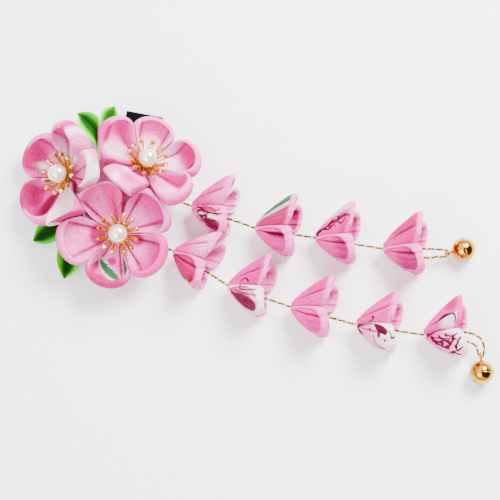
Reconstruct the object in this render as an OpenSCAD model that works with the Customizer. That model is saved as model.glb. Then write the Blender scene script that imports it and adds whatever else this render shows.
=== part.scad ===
/* [Blossoms] */
// Length of a petal from the middle of its blossom to its rim
petal_len = 22; // [21:0.25:23]
// Height of a petal's rim over the foot of its blossom
petal_high = 9.5; // [8.5:0.25:10.5]
// Thickness of the folded cloth at the rim of a petal
petal_cloth = 1.5; // [1.2:0.1:2]
// Height of the cloth at the bottom of a petal's bowl
petal_floor = 1.8; // [1.2:0.1:2.4]
// How far a petal's outer wall swells past its rim
petal_swell = 2; // [1:0.25:2.5]
// Depth of the two creases inside a petal's bowl
petal_crease = 0.6; // [0.3:0.1:1]
// Gap between neighbouring petals
petal_gap = 0.3; // [0.2:0.05:0.5]

/* [Pearls and stamens] */
// Diameter of a pearl
pearl_d = 8; // [7:0.25:8.5]
// Distance of the stamens' tips from the middle of their blossom
stamen_reach = 8; // [7.5:0.25:9]
// Height of the stamens' tips over their plate
stamen_rise = 4.2; // [3.4:0.2:5]
// Diameter of a stamen's wire
stamen_wire = 0.7; // [0.5:0.1:0.9]
// Diameter of a stamen's bright tip
stamen_tip = 1.7; // [1.4:0.1:1.9]
// Diameter of the plate that the stamens grow from
stamen_plate_d = 6.4; // [6:0.2:7]
// Thickness of that plate
stamen_plate = 0.6; // [0.4:0.1:0.8]

/* [Leaves] */
// Widest half of a leaf
leaf_half = 5.75; // [5:0.25:6.5]
// Thickness of a leaf's folded cloth
leaf_cloth = 1.2; // [1:0.1:1.6]
// How deep a leaf is cupped
leaf_cup = 3; // [2:0.25:4]

/* [Hanging blossoms] */
// Length of a hanging blossom along its own axis
drop_len = 18; // [16.5:0.5:18.5]
// Radius of its mouth at the crown of a petal
drop_mouth = 15.5; // [14:0.25:16]
// Thickness of its folded cloth
drop_cloth = 1.2; // [1:0.1:1.6]
// Depth of the two creases outside each petal
drop_crease = 1; // [0.6:0.1:1.4]
// Lean of the axis out of the level
drop_lean = 12; // [10:1:14]

/* [Strands and bells] */
// Reach of the strands along +X, from the middle of the clip to the lower bell
strand_len = 145; // [140:1:150]
// Diameter of the gold cord
cord_d = 1.1; // [0.9:0.1:1.3]
// Gap between the cord and what it passes through
cord_gap = 0.3; // [0.2:0.05:0.4]
// Diameter of a bell
bell_d = 10; // [9:0.5:11]
// Wall of a bell
bell_wall = 0.6; // [0.5:0.1:0.9]
// Width of the slit in a bell
bell_slit = 1; // [0.6:0.1:1.4]
// Diameter of the seam ring round a bell
bell_seam_d = 11; // [10.6:0.2:12]
// Wire of a bell's eye
bell_eye_wire = 0.8; // [0.6:0.1:1]
// Inner diameter of a bell's eye
bell_eye_d = 2.4; // [2:0.1:3]

/* [Clip and pad] */
// Length of the hair clip
clip_len = 60; // [54:1:68]
// Width of the hair clip
clip_w = 16; // [14:0.5:17]
// Height of the closed hair clip
clip_h = 6.8; // [6.4:0.1:8]
// Thickness of each of its two bars
clip_bar = 1.8; // [1.4:0.1:2]
// Turn of the clip in plan
clip_turn = -11; // [-15:1:-8]
// Radius of the backing pad
pad_r = 15; // [13:0.5:16]
// Thickness of the backing pad
pad_h = 2.4; // [2:0.2:3]
// Radius of the round foot under each blossom
foot_r = 8; // [7:0.5:9]
// Thickness of that foot
foot_h = 1.4; // [1:0.2:2]
// Gap between pieces that lie on each other
seat_gap = 0.3; // [0.2:0.05:0.4]

/* [Hidden] */
$fn = 48;

pink = "#F7B6D2";
leaf_green = "#4E9A1B";
gold = "#E8B04A";

// Places of the three blossoms: middle of the pearl, over the clip's top, then which way and
// how far the blossom leans
//         x      y     z              way  lean
spot_a = [-29.8,  0.3, clip_h + 14.3, 180, 38];
spot_b = [  8.0,  6.8, clip_h + 15.6,  50, 28];
spot_c = [ -4.3, -25.2, clip_h + 13.8, -90, 12];

// Upright walls where petals and leaves press on each other: a point in plan, and the
// direction of the side named first
//              x      y      way
wall_a_b   = [-11.4,  3.0, 187.0];
wall_a5_c1 = [-16.1, -6.5, 113.3];
wall_a4_c1 = [-20.1, -12.0, 214.4];
wall_a4_c5 = [-23.0, -18.3, 106.0];
wall_b5_c1 = [ -5.0, -5.4,  49.0];
wall_b5_c2 = [  4.7, -7.9, 123.0];
wall_b4_c2 = [ 12.0, -9.9,  38.8];
wall_l1_l2 = [-13.6, 22.0, 176.0];
wall_l3_l4 = [-28.6, -24.0, 140.0];

// Petals: direction and half width in degrees, length and rim height as shares of the
// named sizes, raise and roll in degrees, and the walls that each presses on
//   turn half length high raise roll  walls
petals_a = [
    [143, 34, 1.01, 1.00, 0, 0, []],
    [67, 37, 0.97, 1.05, 8, -24, [[wall_a_b, 1]]],
    [215, 35, 1.05, 1.00, 0, 0, []],
    [281, 31, 1.15, 1.00, 4, 10, [[wall_a4_c1, 1], [wall_a4_c5, 1]]],
    [-1, 30, 1.00, 1.00, 10, 0, [[wall_a_b, 1], [wall_a5_c1, 1]]]
];
petals_b = [
    [149, 39, 1.03, 1.00, 4, -8, [[wall_a_b, -1]]],
    [76, 32, 0.94, 1.00, 0, 0, []],
    [14, 28, 1.02, 1.00, 0, 0, []],
    [-49, 32, 1.00, 1.00, 4, 6, [[wall_b4_c2, 1]]],
    [-122, 40, 1.08, 0.95, 8, 0, [[wall_a_b, -1], [wall_b5_c1, 1], [wall_b5_c2, 1]]]
];
petals_c = [
    [118, 35, 1.08, 1.00, 0, 0, [[wall_a5_c1, -1], [wall_a4_c1, -1], [wall_b5_c1, -1]]],
    [40, 36, 1.02, 1.00, 0, 0, [[wall_b5_c2, -1], [wall_b4_c2, -1]]],
    [-38, 34, 0.94, 1.00, 0, 0, []],
    [-106, 33, 0.96, 1.00, 0, 0, []],
    [187, 34, 1.08, 1.00, 0, 0, [[wall_a4_c5, -1]]]
];

// Columns across a petal: place as a share of its half width, and lift of the
// bowl from its floor (0) to its side ridge (1); a crease lies under the floor
//                across lift crease
petal_columns = [
    [-1.00, 0.80, 0], [-0.94, 1.00, 0], [-0.78, 0.42, 0], [-0.58, 0.00, 1], [-0.30, 0.10, 0],
    [0.00, 0.12, 0],
    [0.30, 0.10, 0], [0.58, 0.00, 1], [0.78, 0.42, 0], [0.94, 1.00, 0], [1.00, 0.80, 0]
];

// Where a petal starts beside the middle of its blossom, and where its raise starts
petal_start = 2.6;
raise_from = 6;
// Height of the side ridges at the middle, as a share of the rim's height
ridge_low = 0.30;
// Rounding of a petal's end: its reach at the side as a share of its length
side_reach = 0.70;
// How softly petals of two blossoms press on each other
press = 0.8;
// Distance from the middle where that starts, full at twice as far
press_from = 4;

// Leaves: root on the pad's rim by angle, bend and tip in plan, height of the root over the
// clip, heights of bend and tip, and width and cup as shares
//  root  bend x y       tip x y      z root bend tip  width cup
leaf_rows = [
    [97, -14.0, 23.0, -23.2, 30.0, 1.5, 6.0, 5.0, 0.82, 1.0],
    [90, -13.0, 23.0, -7.2, 32.8, 1.5, 6.0, 5.5, 0.90, 1.0],
    [197, -31.0, -19.5, -41.4, -25.0, 1.1, 0.8, 2.2, 0.94, 0.5],
    [213, -24.0, -28.0, -27.9, -41.3, 1.3, 2.5, 3.0, 1.00, 1.0]
];
// Sections of a leaf from its root to its tip: along, half width and cup as shares
//             along half  cup
leaf_sections = [
    [0.00, 0.14, 0.20], [0.20, 0.50, 0.60], [0.42, 0.86, 1.00], [0.62, 1.00, 1.00],
    [0.80, 0.80, 0.80], [0.93, 0.38, 0.45], [1.00, 0.06, 0.10]
];
// Distance of a leaf's root from the pad's rim
leaf_off = 0.9;
// Places across a leaf, as shares of its half width
leaf_across = [-1, -0.6, 0, 0.6, 1];

// Reach that the places below are charted for, and where along +X the strands stretch when
// it changes; past that the bells and their loops move as they are
charted_len = 145;
stretch_from = 30;
stretch_to = 105;
function reached(p) =
    let (share = min(1, max(0, (p[0] - stretch_from) / (stretch_to - stretch_from))))
    [p[0] + share * (strand_len - charted_len), each [for (i = [1 : len(p) - 1]) p[i]]];

// Hanging blossoms: apex in plan and heading of the axis in plan
//          x      y    heading
spot_u1 = [26.3, -11, -7];
spot_u2 = [53.2, -20.3, -3];
spot_u3 = [78.5, -24.5, 1];
spot_u4 = [107.0, -29.1, 2];
spot_d1 = [19, -30.5, -22];
spot_d2 = [41.8, -45, -7];
spot_d3 = [68.0, -54, -6];
spot_d4 = [95.3, -61.4, -4];
spot_d5 = [123.6, -65.7, 6];
// Petals of a hanging blossom: direction round its axis from straight up, length and
// spread as shares, and how far the mouth curls in
//  turn length spread curl
drop_petals = [
    [50, 1.02, 1.03, 0.2],
    [-40, 1.00, 0.96, 1.0],
    [-130, 0.88, 0.84, 0.8],
    [140, 1.00, 0.94, 0.4]
];
// Sections of a hanging petal from apex to mouth: along, and radius of a straight and of a
// curled petal, as shares
//  along straight curled
drop_sections = [
    [0, 0, 0], [0.24, 0.32, 0.42], [0.54, 0.62, 0.80], [0.84, 0.90, 1.00], [1.00, 1.00, 0.90]
];
// Columns across a hanging petal: place as a share of its half width, radius and length as
// shares, and crease
//  across radius length crease
drop_columns = [
    [-1.00, 0.46, 0.80, 0], [-0.72, 0.80, 0.94, 0], [-0.42, 0.90, 0.98, 1],
    [0.00, 1.00, 1.00, 0],
    [0.42, 0.90, 0.98, 1], [0.72, 0.80, 0.94, 0], [1.00, 0.46, 0.80, 0]
];
drop_half = 45;
// Height of a hanging blossom that lies on its side, as a share of its width
drop_flat = 0.85;
// Lowest point of its mouth under its axis, as a share of its radius
drop_low = 0.66;
// Radius of the hole that the cord runs through at the apex
drop_hole = cord_d / 2 + cord_gap;
// Height of the apex that lays the lowest petal on the surface
apex_z = drop_low * drop_mouth * cos(drop_lean)
    - drop_sections[3][0] * drop_len * sin(drop_lean);

// Height of the bells' middles and eyes over the surface
bell_z = bell_seam_d / 2;
// Eyes of the two bells in plan, and the heading of each bell
eye_upper = [134.4, -30.6];
eye_lower = [147.2, -74.7];
heading_upper = 12;
heading_lower = -88;

// Routes of the two cords, from near the pad through the hanging blossoms to the bells' eyes
route_upper = [
    [12, -4.6, 8.6], [17, -7.2, 9], [22, -9.2, apex_z],
    [26.3, -11, apex_z], [33, -13.3, apex_z], [40, -15.7, apex_z], [47, -18.1, apex_z],
    [53.2, -20.3, apex_z], [60, -21.5, apex_z], [67, -22.6, apex_z], [73, -23.6, apex_z],
    [78.5, -24.5, apex_z], [86, -25.7, apex_z], [93, -26.9, apex_z], [100, -28, apex_z],
    [107, -29.1, apex_z], [113, -29.2, apex_z], [119, -29.5, 9], [125, -29.2, 7.4],
    [129.5, -29.2, 6], [132, -29.3, bell_z], [133.6, -29.6, bell_z],
    [134.4, -30.6, bell_z], [133.6, -32, bell_z], [132, -32.3, bell_z],
    [129.3, -32.4, 6], [125, -33.1, 7.4], [119, -32.2, 9], [116.5, -31.6, 8.5]
];
route_lower = [
    [7, -25.6, 8.4], [11, -27.1, 8.2], [15, -28.7, 7.6],
    [19, -30.5, apex_z], [24.5, -33.9, apex_z], [30, -37.5, apex_z], [36, -41.3, apex_z],
    [41.8, -45, apex_z], [48, -47.1, apex_z], [55, -49.5, apex_z], [62, -51.9, apex_z],
    [68, -54, apex_z], [75, -55.9, apex_z], [82, -57.8, apex_z], [89, -59.7, apex_z],
    [95.3, -61.4, apex_z], [102, -62.5, apex_z], [109, -63.5, apex_z], [116, -64.6, apex_z],
    [123.6, -65.7, apex_z], [130, -66.6, apex_z], [137, -68, 9],
    [142.5, -69, 7.4], [145.1, -70.4, 6.4], [145.8, -72.2, 5.8],
    [146.2, -73.9, bell_z], [147.2, -74.7, bell_z], [148.2, -73.9, bell_z],
    [148.5, -72, 5.8], [148.2, -69.4, 6.6], [146.4, -66.8, 7.6],
    [142.5, -65.2, 8.8], [138, -64.4, apex_z]
];
cord_sides = 8;

// Turns a point in plan
function turned(p, a) = [p[0] * cos(a) - p[1] * sin(a), p[0] * sin(a) + p[1] * cos(a), p[2]];
// Leans a point over towards +X
function tipped(p, a) = [p[0] * cos(a) + p[2] * sin(a), p[1], -p[0] * sin(a) + p[2] * cos(a)];
// Leans a point over towards a direction in plan
function leant(p, way, a) = turned(tipped(turned(p, -way), a), way);
function unit(v) = v / norm(v);
function flat(lists) = [for (list = lists) for (item = list) item];

// Moves a point softly to its own side of each wall in a list
function pressed(p, walls, i = 0) =
    i == len(walls) ? p :
    let (
        wall = walls[i][0],
        way = walls[i][1] * [cos(wall[2]), sin(wall[2]), 0],
        d = (p - [wall[0], wall[1], 0]) * way,
        seat = petal_gap / 2
    )
    pressed(p + way * (seat + press * ln(1 + exp((d - seat) / press)) - d), walls, i + 1);

// Height of a petal's side ridge at a distance from the middle of the blossom
function ridge(r, length, high) =
    high * (ridge_low + (1 - ridge_low) * pow(r / length, 1.3));

// One column of a petal: its profile as distance and height, closed under the foot
function petal_profile(row, column) =
    let (
        length = petal_len * row[2],
        high = petal_high * row[3],
        reach = length * (side_reach + (1 - side_reach) * sqrt(1 - column[0] * column[0])),
        top = ridge(reach, length, high),
        low = petal_floor - column[2] * petal_crease,
        inner = [reach - 2.2 * petal_cloth, 0.72 * reach, 0.42 * reach, petal_start],
        bowl = [for (r = inner) low + column[1] * (ridge(r, length, high) - low)]
    )
    [
        [petal_start, 0], [0.45 * reach, 0], [0.80 * reach, 0.2],
        [0.94 * reach + 0.5 * petal_swell, 0.22 * top],
        [reach + petal_swell, 0.52 * top],
        [reach + 0.7 * petal_swell, 0.82 * top],
        [reach, top],
        [reach - petal_cloth, 0.96 * top],
        [inner[0], bowl[0] + 0.3 * (top - bowl[0])],
        [inner[1], bowl[1]], [inner[2], bowl[2]], [inner[3], bowl[3]]
    ];

// Raises the outer part of a petal about its bend, and its rim more towards one side
function lifted(q, row, across) =
    let (
        out = max(0, q[0] - raise_from),
        tall = out * (tan(row[5]) * sin(across * row[1]) + tan(abs(row[5])) * sin(row[1])),
        rolled = tall * max(0, q[1]) / (petal_high * row[3])
    )
    out == 0 ? q : [
        raise_from + out * cos(row[4]) - q[1] * sin(row[4]),
        q[1] * cos(row[4]) + out * sin(row[4]) + rolled
    ];

// Point of a petal in the frame of its blossom
function petal_point(q, row, across) =
    let (
        own = petal_gap / 2 / sin(row[1]),
        a = row[0] + across * row[1]
    )
    [own * cos(row[0]) + q[0] * cos(a), own * sin(row[0]) + q[0] * sin(a), q[1]];

// Seat of the stamens' plate on the petals' ridges, and the middle of a pearl over the foot
stamen_seat = ridge(stamen_plate_d / 2, 0.9 * petal_len, 1.05 * petal_high) + seat_gap;
pearl_up = stamen_seat + stamen_plate + seat_gap + pearl_d / 2;
function foot_of(spot) =
    [spot[0], spot[1], spot[2]] - leant([0, 0, pearl_up], spot[3], spot[4]);

module loft(sections) {
    n = len(sections[0]);
    last = (len(sections) - 1) * n;
    sides = [
        for (j = [0 : len(sections) - 2]) for (i = [0 : n - 1])
            let (a = j * n + i, b = j * n + (i + 1) % n)
            each [[a, b, b + n], [a, b + n, a + n]]
    ];
    ends = [
        for (i = [0 : n / 2 - 2])
            let (k = n - 1 - i)
            each [
                [i, k - 1, i + 1], [i, k, k - 1],
                [last + i, last + i + 1, last + k - 1], [last + i, last + k - 1, last + k]
            ]
    ];
    polyhedron(points = flat(sections), faces = concat(sides, ends));
}

module petal(spot, row) {
    foot = foot_of(spot);
    color(pink)
        loft([
            for (column = petal_columns) [
                for (q = petal_profile(row, column))
                    let (
                        local = petal_point(lifted(q, row, column[0]), row, column[0]),
                        p = foot + leant(local, spot[3], spot[4]),
                        free = min(1, max(0, (q[0] - press_from) / press_from))
                    )
                    p + free * (pressed(p, row[6]) - p)
            ]
        ]);
}

module stamens(spot) {
    foot = foot_of(spot);
    start = stamen_plate_d / 2 - stamen_wire;
    run = stamen_reach - start;
    length = norm([run, stamen_rise]);
    color(gold)
        translate(foot)
            rotate([0, 0, spot[3]]) rotate([0, spot[4], 0]) rotate([0, 0, -spot[3]])
                translate([0, 0, stamen_seat]) {
                    cylinder(h = stamen_plate, d = stamen_plate_d);
                    for (a = [15 : 30 : 345])
                        rotate([0, 0, a]) translate([start, 0, stamen_plate / 2])
                            rotate([0, atan2(run, stamen_rise), 0]) {
                                cylinder(h = length, d = stamen_wire, $fn = 16);
                                translate([0, 0, length]) sphere(d = stamen_tip, $fn = 16);
                            }
                }
}

module pearl(spot) {
    color("#FBF3EE") translate([spot[0], spot[1], spot[2]]) sphere(d = pearl_d);
}

// Point of a curve with one bend between its root and its tip
function bent(root, bend, end, t) =
    (1 - t) * (1 - t) * root + 2 * t * (1 - t) * bend + t * t * end;

pad_mid = [-8, -5];
module leaf(row, walls) {
    root = [
        pad_mid[0] + (pad_r + leaf_off) * cos(row[0]),
        pad_mid[1] + (pad_r + leaf_off) * sin(row[0]), clip_h + row[5]
    ];
    bend = [row[1], row[2], row[6]];
    end = [row[3], row[4], row[7]];
    color(leaf_green)
        loft([
            for (section = leaf_sections)
                let (
                    t = section[0],
                    mid = bent(root, bend, end, t),
                    ahead = (1 - t) * (bend - root) + t * (end - bend),
                    across = unit([-ahead[1], ahead[0], 0]),
                    edge = [for (s = leaf_across)
                        mid + across * s * leaf_half * row[8] * section[1]
                        + [0, 0, s * s * leaf_cup * row[9] * section[2]]]
                )
                [
                    for (p = edge) pressed(p + [0, 0, leaf_cloth / 2], walls),
                    for (i = [4 : -1 : 0]) pressed(edge[i] - [0, 0, leaf_cloth / 2], walls)
                ]
        ]);
}

// Point of a hanging petal: distance along and from its axis, and turn about it
function drop_point(spot, turn, x, r, a) =
    let (
        own = petal_gap / 2 / sin(drop_half),
        y = own * sin(turn) + r * sin(turn + a),
        z = drop_flat * (own * cos(turn) + r * cos(turn + a))
    )
    [spot[0], spot[1], apex_z]
    + turned([
        x * cos(drop_lean) - z * sin(drop_lean), y, x * sin(drop_lean) + z * cos(drop_lean)
    ], spot[2]);

module drop(charted) {
    spot = reached(charted);
    color(pink)
        for (one = drop_petals)
            loft([
                for (column = drop_columns)
                    let (
                        a = column[0] * drop_half,
                        length = drop_len * one[1] * column[2],
                        mouth = drop_mouth * one[2] * column[1] - drop_hole - drop_cloth,
                        inside = [for (s = drop_sections)
                            let (share = s[1] + one[3] * (s[2] - s[1]))
                            drop_hole + mouth * share - column[3] * drop_crease * share]
                    )
                    [
                        for (i = [0 : 4])
                            let (x = length * drop_sections[i][0])
                            drop_point(spot, one[0], x, inside[i] + drop_cloth, a),
                        for (i = [4 : -1 : 0])
                            let (x = length * drop_sections[i][0])
                            drop_point(spot, one[0], x, inside[i], a)
                    ]
            ]);
}

// Starts of the two cords: beside the pad's rim, and beside the foot of the lower blossom
root_upper = [
    pad_mid[0] + (pad_r + drop_hole) * cos(7), pad_mid[1] + (pad_r + drop_hole) * sin(7),
    clip_h + 1.5
];
foot_c = foot_of(spot_c);
root_lower = [
    foot_c[0] + (0.82 * foot_r + drop_hole) * cos(-5),
    foot_c[1] + (0.82 * foot_r + drop_hole) * sin(-5), clip_h + 1.6
];
module strand(root, charted) {
    route = [root, each [for (p = charted) reached(p)]];
    n = len(route);
    color("#D9A83B")
        loft([
            for (i = [0 : n - 1])
                let (
                    ahead = unit(route[min(i + 1, n - 1)] - route[max(i - 1, 0)]),
                    across = unit(cross(ahead, [0, 0, 1])),
                    up = cross(across, ahead)
                )
                [
                    for (k = [0 : cord_sides - 1])
                        let (a = 360 * k / cord_sides)
                        route[i] + cord_d / 2 * (cos(a) * across + sin(a) * up)
                ]
        ]);
}

// Half outline of a bell's hollow ball with its seam ring
module bell_outline() {
    intersection() {
        difference() {
            union() {
                circle(d = bell_d);
                square([bell_seam_d, bell_wall], center = true);
            }
            circle(d = bell_d - 2 * bell_wall);
        }
        translate([0, -bell_d]) square(2 * bell_d);
    }
}

module bell(charted, heading) {
    eye = reached(charted);
    ball = bell_d / 2;
    mid = ball + (bell_eye_d + bell_eye_wire) / 2;
    color(gold)
        translate([eye[0], eye[1], bell_z]) rotate([0, 0, heading]) {
            difference() {
                translate([mid, 0, 0]) rotate([0, 90, 0]) rotate_extrude() bell_outline();
                translate([mid + ball / 2 + bell_wall, 0, 0])
                    cube([ball, 2 * bell_d, bell_slit], center = true);
            }
            rotate([90, 0, 0]) difference() {
                cylinder(h = bell_eye_wire, d = bell_eye_d + 2 * bell_eye_wire, center = true);
                cylinder(h = 2 * bell_eye_wire, d = bell_eye_d, center = true);
            }
        }
}

module hair_clip() {
    hinge = clip_h / 2;
    color("#0B0D14")
        rotate([0, 0, clip_turn]) {
            for (z = [0, clip_h - clip_bar])
                translate([-clip_w / 2, -clip_len / 2 + hinge, z])
                    cube([clip_w, clip_len - hinge, clip_bar]);
            translate([0, -clip_len / 2 + hinge, hinge]) rotate([0, 90, 0])
                cylinder(h = clip_w, d = clip_h, center = true);
        }
}

module backing_pad() {
    bottom = clip_h + seat_gap;
    color("#F1D9E2") {
        translate([pad_mid[0], pad_mid[1], bottom]) cylinder(h = pad_h, r = pad_r);
        for (spot = [spot_a, spot_b, spot_c]) {
            foot = foot_of(spot);
            hull() {
                translate(foot) rotate([0, 0, spot[3]]) rotate([0, spot[4], 0])
                    translate([0, 0, -seat_gap - foot_h])
                        cylinder(h = foot_h, r = foot_r, $fn = 32);
                translate([foot[0], foot[1], bottom])
                    cylinder(h = pad_h, r = 0.62 * foot_r, $fn = 32);
            }
        }
    }
}

hair_clip();
backing_pad();
petal(spot_a, petals_a[0]);  // petal_a1
petal(spot_a, petals_a[1]);  // petal_a2
petal(spot_a, petals_a[2]);  // petal_a3
petal(spot_a, petals_a[3]);  // petal_a4
petal(spot_a, petals_a[4]);  // petal_a5
petal(spot_b, petals_b[0]);  // petal_b1
petal(spot_b, petals_b[1]);  // petal_b2
petal(spot_b, petals_b[2]);  // petal_b3
petal(spot_b, petals_b[3]);  // petal_b4
petal(spot_b, petals_b[4]);  // petal_b5
petal(spot_c, petals_c[0]);  // petal_c1
petal(spot_c, petals_c[1]);  // petal_c2
petal(spot_c, petals_c[2]);  // petal_c3
petal(spot_c, petals_c[3]);  // petal_c4
petal(spot_c, petals_c[4]);  // petal_c5
leaf(leaf_rows[0], [[wall_l1_l2, 1]]);  // leaf_1
leaf(leaf_rows[1], [[wall_l1_l2, -1]]);  // leaf_2
leaf(leaf_rows[2], [[wall_l3_l4, 1]]);  // leaf_3
leaf(leaf_rows[3], [[wall_l3_l4, -1]]);  // leaf_4
stamens(spot_a);  // stamens_a
stamens(spot_b);  // stamens_b
stamens(spot_c);  // stamens_c
pearl(spot_a);  // pearl_a
pearl(spot_b);  // pearl_b
pearl(spot_c);  // pearl_c
strand(root_upper, route_upper);  // strand_upper
strand(root_lower, route_lower);  // strand_lower
drop(spot_u1);  // drop_u1
drop(spot_u2);  // drop_u2
drop(spot_u3);  // drop_u3
drop(spot_u4);  // drop_u4
drop(spot_d1);  // drop_d1
drop(spot_d2);  // drop_d2
drop(spot_d3);  // drop_d3
drop(spot_d4);  // drop_d4
drop(spot_d5);  // drop_d5
bell(eye_upper, heading_upper);  // bell_upper
bell(eye_lower, heading_lower);  // bell_lower
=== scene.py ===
"""Hair clip with folded cloth blossoms: looks, floor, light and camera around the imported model.

Lengths and places are millimetres in the tables, as in the model's source, and are turned to
metres where a mesh, a light or the camera is made.
"""
import math

import bpy
import numpy as np
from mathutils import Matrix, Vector


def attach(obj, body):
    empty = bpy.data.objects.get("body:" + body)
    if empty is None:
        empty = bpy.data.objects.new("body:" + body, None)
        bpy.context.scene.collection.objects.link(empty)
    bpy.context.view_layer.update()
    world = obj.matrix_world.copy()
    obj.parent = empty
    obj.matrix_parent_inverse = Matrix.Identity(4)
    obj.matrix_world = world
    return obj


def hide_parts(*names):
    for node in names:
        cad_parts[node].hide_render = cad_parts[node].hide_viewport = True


MM = 0.001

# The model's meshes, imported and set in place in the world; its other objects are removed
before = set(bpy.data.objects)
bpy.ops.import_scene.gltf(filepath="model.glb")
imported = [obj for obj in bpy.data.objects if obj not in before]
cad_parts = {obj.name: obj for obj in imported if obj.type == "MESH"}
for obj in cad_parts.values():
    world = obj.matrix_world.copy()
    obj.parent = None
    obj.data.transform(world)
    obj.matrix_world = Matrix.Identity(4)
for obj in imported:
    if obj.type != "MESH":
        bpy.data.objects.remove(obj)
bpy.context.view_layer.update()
rng = np.random.default_rng(11)


# Camera: the photograph's view, 80 degrees over the floor

VIEW_MIDDLE = (50.6, -30.2, 10.0)
VIEW_DISTANCE = 800.0
VIEW_WIDTH = 210.0
VIEW_ELEVATION = 80.0
SENSOR = 36.0


def new_object(name, data):
    """Object with this data, in the scene."""
    item = bpy.data.objects.new(name, data)
    bpy.context.scene.collection.objects.link(item)
    return item


def aim(item, place, way):
    """Puts the camera or a lamp at a place in millimetres, looking along a direction."""
    item.location = Vector(place) * MM
    item.rotation_mode = "QUATERNION"
    item.rotation_quaternion = way.to_track_quat("-Z", "Y")


def make_camera():
    rise = math.radians(VIEW_ELEVATION)
    back = Vector((0, -math.cos(rise), math.sin(rise)))
    data = bpy.data.cameras.new("camera")
    data.sensor_width = SENSOR
    data.lens = SENSOR * VIEW_DISTANCE / VIEW_WIDTH
    data.clip_start, data.clip_end = 0.05, 10
    camera = new_object("camera", data)
    aim(camera, Vector(VIEW_MIDDLE) + VIEW_DISTANCE * back, -back)
    bpy.context.scene.camera = camera


# Colours and nodes

def linear(hex_colour):
    """Linear RGBA of an sRGB hex colour."""
    parts = [int(hex_colour[i:i + 2], 16) / 255 for i in (1, 3, 5)]
    return (*[c / 12.92 if c <= 0.04045 else ((c + 0.055) / 1.055) ** 2.4 for c in parts], 1.0)


def dye_of(hex_colour):
    return np.array(linear(hex_colour)[:3])


def add(tree, kind, values=None, out=0):
    """Adds a shader node and returns one of its outputs. Values are its properties, or its
    sockets' values or sources by name or index."""
    node = tree.nodes.new("ShaderNode" + kind)
    for key, value in (values or {}).items():
        if isinstance(value, bpy.types.NodeSocket):
            tree.links.new(value, node.inputs[key])
        elif isinstance(key, str) and hasattr(node, key):
            setattr(node, key, value)
        else:
            node.inputs[key].default_value = value
    return node.outputs[out]


def new_material(name, values):
    """Material whose Principled shader has these values. Returns it, its tree, and the place on
    the piece that patterns start from."""
    material = bpy.data.materials.new(name)
    material.use_nodes = True
    tree = material.node_tree
    for key, value in values.items():
        tree.nodes["Principled BSDF"].inputs[key].default_value = value
    return material, tree, add(tree, "TexCoord", out="Object")


def finish(tree, colour, height, bump, rough=None, pattern=None, under=None):
    """Gives the shader a colour, a bump of a strength and a depth in millimetres that follows a
    height, and a roughness between two values that follows a pattern, or else the height."""
    shader = tree.nodes["Principled BSDF"].inputs
    relief = {"Strength": bump[0], "Distance": bump[1] * MM, "Height": height}
    if under:
        relief["Normal"] = under
    tree.links.new(add(tree, "Bump", relief), shader["Normal"])
    tree.links.new(colour, shader["Base Color"])
    if rough:
        tree.links.new(add(tree, "MapRange", {"To Min": rough[0], "To Max": rough[1],
                                              "Value": pattern or height}), shader["Roughness"])


def two_tones(tree, pattern, first, second, start=0.0, end=1.0):
    """Colour that goes from the first to the second as a pattern goes from start to end."""
    share = add(tree, "MapRange", {"From Min": start, "From Max": end, "Value": pattern})
    return add(tree, "Mix", {"data_type": "RGBA", 0: share, 6: first, 7: second}, 2)


def tone_and_glint_flecked(tree, dye, pattern, span, tones):
    """Dye made darker and lighter, between two tones, as a pattern goes through a span.
    Where the pattern is also the bump's height, this is painted glint on the crowns and painted
    shade in the hollows.
    """
    tone = add(tree, "MapRange", {"From Min": span[0], "From Max": span[1], "To Min": tones[0],
                                  "To Max": tones[1], "Value": pattern})
    return add(tree, "Mix", {"data_type": "RGBA", "blend_type": "MULTIPLY", 0: 1.0,
                             6: dye, 7: tone}, 2)


# Named cloth colours

WHITE = "#FBE3EE"
PALE = "#F890D0"
LIGHT = "#F050B8"
MID = "#DE1CA8"
ROSE = "#BE0888"
MAGENTA = "#CC008C"
DEEP = "#8A0054"
SAGE = "#4E8060"
CRIMSON = "#500022"

CREPE_GRAIN = 0.7      # width of a crepe pucker; real ones are 0.3, too fine for the render
THREAD = 0.16          # spacing of the crepe's threads
DYE_DEPTH = 1.45       # how much deeper the strong dyes take than the pale ones
INK_EDGE = 0.08        # softness of a printed line's edge; ink is the depth inside a line


def crepe(name, sheen=0.02, lines=False):
    """Rayon crepe, woven with twisted threads: matt, with fine puckers, and dye that fades softly
    from colour to colour. Its dye is painted on the mesh; on the puckers it is made lighter and
    darker, partly the crepe's own uneven tone and partly painted glint and shade."""
    material, tree, place = new_material(name, {
        "Roughness": 0.78, "IOR": 1.47, "Specular IOR Level": 0.12, "Sheen Weight": sheen,
        "Sheen Roughness": 0.4, "Sheen Tint": linear("#FFC9DE"), "Subsurface Weight": 0.12,
        "Subsurface Radius": (0.9 * MM, 0.5 * MM, 0.55 * MM), "Subsurface Scale": 1.0})
    painted = add(tree, "Attribute", {"attribute_name": "dye"}, "Color")
    dye = add(tree, "Gamma", {"Gamma": DYE_DEPTH, "Color": painted})
    puckers = add(tree, "TexNoise", {"Scale": 1 / (CREPE_GRAIN * MM), "Detail": 3.0,
                                     "Roughness": 0.62, "Vector": place})
    threads = add(tree, "TexNoise", {"Scale": 1 / (2 * THREAD * MM), "Detail": 1.0,
                                     "Vector": place})
    # partly painted glint and shade: lighter on the puckers' crowns, darker in their hollows, over
    # the crepe's own uneven tone
    colour = tone_and_glint_flecked(tree, dye, puckers, (0.36, 0.66), (0.66, 1.12))
    if lines:
        depth = add(tree, "Attribute", {"attribute_name": "ink"}, "Fac")
        colour = two_tones(tree, depth, colour, linear(CRIMSON), -INK_EDGE, INK_EDGE)
    fine = add(tree, "Bump", {"Strength": 0.25, "Distance": 0.05 * MM, "Height": threads})
    finish(tree, colour, puckers, (0.55, 0.12), (0.66, 0.88), under=fine)
    return material


# Shapes shared with the model's source, in millimetres and degrees

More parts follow.
